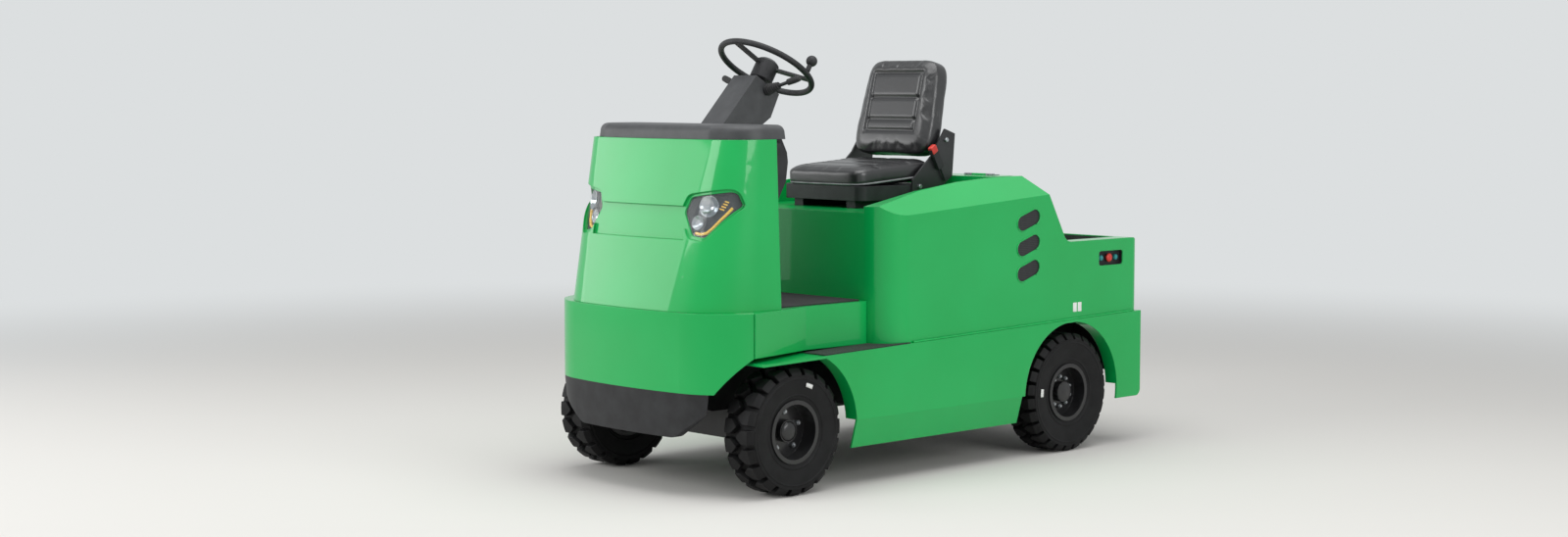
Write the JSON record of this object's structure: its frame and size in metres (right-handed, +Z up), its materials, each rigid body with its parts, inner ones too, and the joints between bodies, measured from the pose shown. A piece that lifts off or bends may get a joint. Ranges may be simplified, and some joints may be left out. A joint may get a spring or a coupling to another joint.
{
  "type": "electric tow tractor",
  "caption": "Electric tow tractor with an upright cowl, open foot well, seat on a lifting hood, rear tray, steered front wheels and a rear tow jaw.",
  "frame": {"origin": "on the ground, under the middle of the machine's length and width", "axes": "+X forward, +Y to the driver's left, +Z up"},
  "size_m": [2.4519, 1.15, 1.6897],
  "materials": {
    "green_paint": "gloss green enamel on pressed steel",
    "frame_steel": "black chassis paint on welded steel",
    "motor_paint": "dark grey painted casting",
    "battery_case": "powder-coated battery case",
    "black_plastic": "fine-grained moulded black plastic",
    "grey_plastic": "fine-grained moulded dark grey plastic",
    "lamp_reflector": "bright reflector",
    "clear_lens": "clear polycarbonate",
    "rubber_mat": "ribbed black rubber",
    "pedal_rubber": "black rubber",
    "grille_mesh": "black mesh",
    "red_plastic": "glossy red plastic",
    "teal_plastic": "glossy teal plastic",
    "tray_paint": "black textured paint",
    "hinge_steel": "plain steel",
    "step_grit": "black anti-slip grit",
    "red_lens": "red lamp lens",
    "seat_vinyl": "black seat vinyl",
    "bracket_steel": "black painted steel",
    "wheel_plastic": "black soft-touch moulding",
    "tyre_rubber": "black solid tyre rubber",
    "rim_paint": "black wheel paint"
  },
  "bodies": {
    "chassis": {"chassis_frame": "frame_steel", "rear_plate": "frame_steel", "front_axle": "frame_steel", "rear_axle": "frame_steel", "drive_motor": "motor_paint", "battery_pack": "battery_case", "nose_panel": "green_paint", "front_bumper": "black_plastic", "cowl": "green_paint", "headlamp_housings": "lamp_reflector", "headlamp_lenses": "clear_lens", "dash": "black_plastic", "column_shroud": "grey_plastic", "levers": "black_plastic", "floor_pan": "green_paint", "floor_mat": "rubber_mat", "pedals": "pedal_rubber", "seat_body": "green_paint", "vent_grilles": "grille_mesh", "control_panel": "black_plastic", "stop_button": "red_plastic", "push_buttons": "teal_plastic", "rear_deck": "green_paint", "rear_tray": "tray_paint", "hood_hinges": "hinge_steel", "hood_buffers": "pedal_rubber", "skirt_left": "green_paint", "skirt_right": "green_paint", "step_pads": "step_grit", "tow_hitch": "frame_steel", "tail_lamps": "red_lens"},
    "hood": {"seat_deck": "green_paint", "seat_base": "black_plastic", "seat_cushion": "seat_vinyl", "seat_back": "seat_vinyl", "seat_brackets": "bracket_steel", "belt_buckle": "black_plastic"},
    "steering": {"steering_wheel": "wheel_plastic", "steering_knob": "wheel_plastic"},
    "left_knuckle": {"knuckle_left": "frame_steel"},
    "right_knuckle": {"knuckle_right": "frame_steel"},
    "steering_link": {"tie_rod": "bracket_steel"},
    "front_left_wheel": {"tyre_front_left": "tyre_rubber", "rim_front_left": "rim_paint"},
    "front_right_wheel": {"tyre_front_right": "tyre_rubber", "rim_front_right": "rim_paint"},
    "rear_left_wheel": {"tyre_rear_left": "tyre_rubber", "rim_rear_left": "rim_paint"},
    "rear_right_wheel": {"tyre_rear_right": "tyre_rubber", "rim_rear_right": "rim_paint"}
  },
  "joints": [
    {"name": "steer_left", "type": "hinge", "parent": "chassis", "child": "left_knuckle", "pos_m": [0.85, 0.38, 0.2375], "axis": [0, 0, 1], "range_deg": [-36, 36]},
    {"name": "steer_right", "type": "hinge", "parent": "chassis", "child": "right_knuckle", "pos_m": [0.85, -0.38, 0.2375], "axis": [0, 0, 1], "range_deg": [-36, 36]},
    {"name": "steering_wheel_turn", "type": "hinge", "parent": "chassis", "child": "steering", "pos_m": [0.485, 0, 1.578], "axis": [-0.524, 0, 0.8517], "range_deg": [-540, 540]},
    {"name": "tie_rod_turn", "type": "hinge", "parent": "left_knuckle", "child": "steering_link", "pos_m": [0.74, 0.38, 0.2055], "axis": [0, 0, 1], "range_deg": [-36, 36]},
    {"name": "hood_lift", "type": "hinge", "parent": "chassis", "child": "hood", "pos_m": [-0.484, 0, 1.141], "axis": [0, -1, 0], "range_deg": [0, 55]},
    {"name": "front_left_spin", "type": "hinge", "parent": "left_knuckle", "child": "front_left_wheel", "pos_m": [0.85, 0.48, 0.2375], "axis": [0, 1, 0], "continuous": true},
    {"name": "front_right_spin", "type": "hinge", "parent": "right_knuckle", "child": "front_right_wheel", "pos_m": [0.85, -0.48, 0.2375], "axis": [0, 1, 0], "continuous": true},
    {"name": "rear_left_spin", "type": "hinge", "parent": "chassis", "child": "rear_left_wheel", "pos_m": [-0.7, 0.48, 0.245], "axis": [0, 1, 0], "continuous": true},
    {"name": "rear_right_spin", "type": "hinge", "parent": "chassis", "child": "rear_right_wheel", "pos_m": [-0.7, -0.48, 0.245], "axis": [0, 1, 0], "continuous": true}
  ],
  "couplings": [
    {"joint": "steer_right", "follows": "steer_left", "ratio": 1},
    {"joint": "steering_wheel_turn", "follows": "steer_left", "ratio": 15},
    {"joint": "tie_rod_turn", "follows": "steer_left", "ratio": -1}
  ]
}
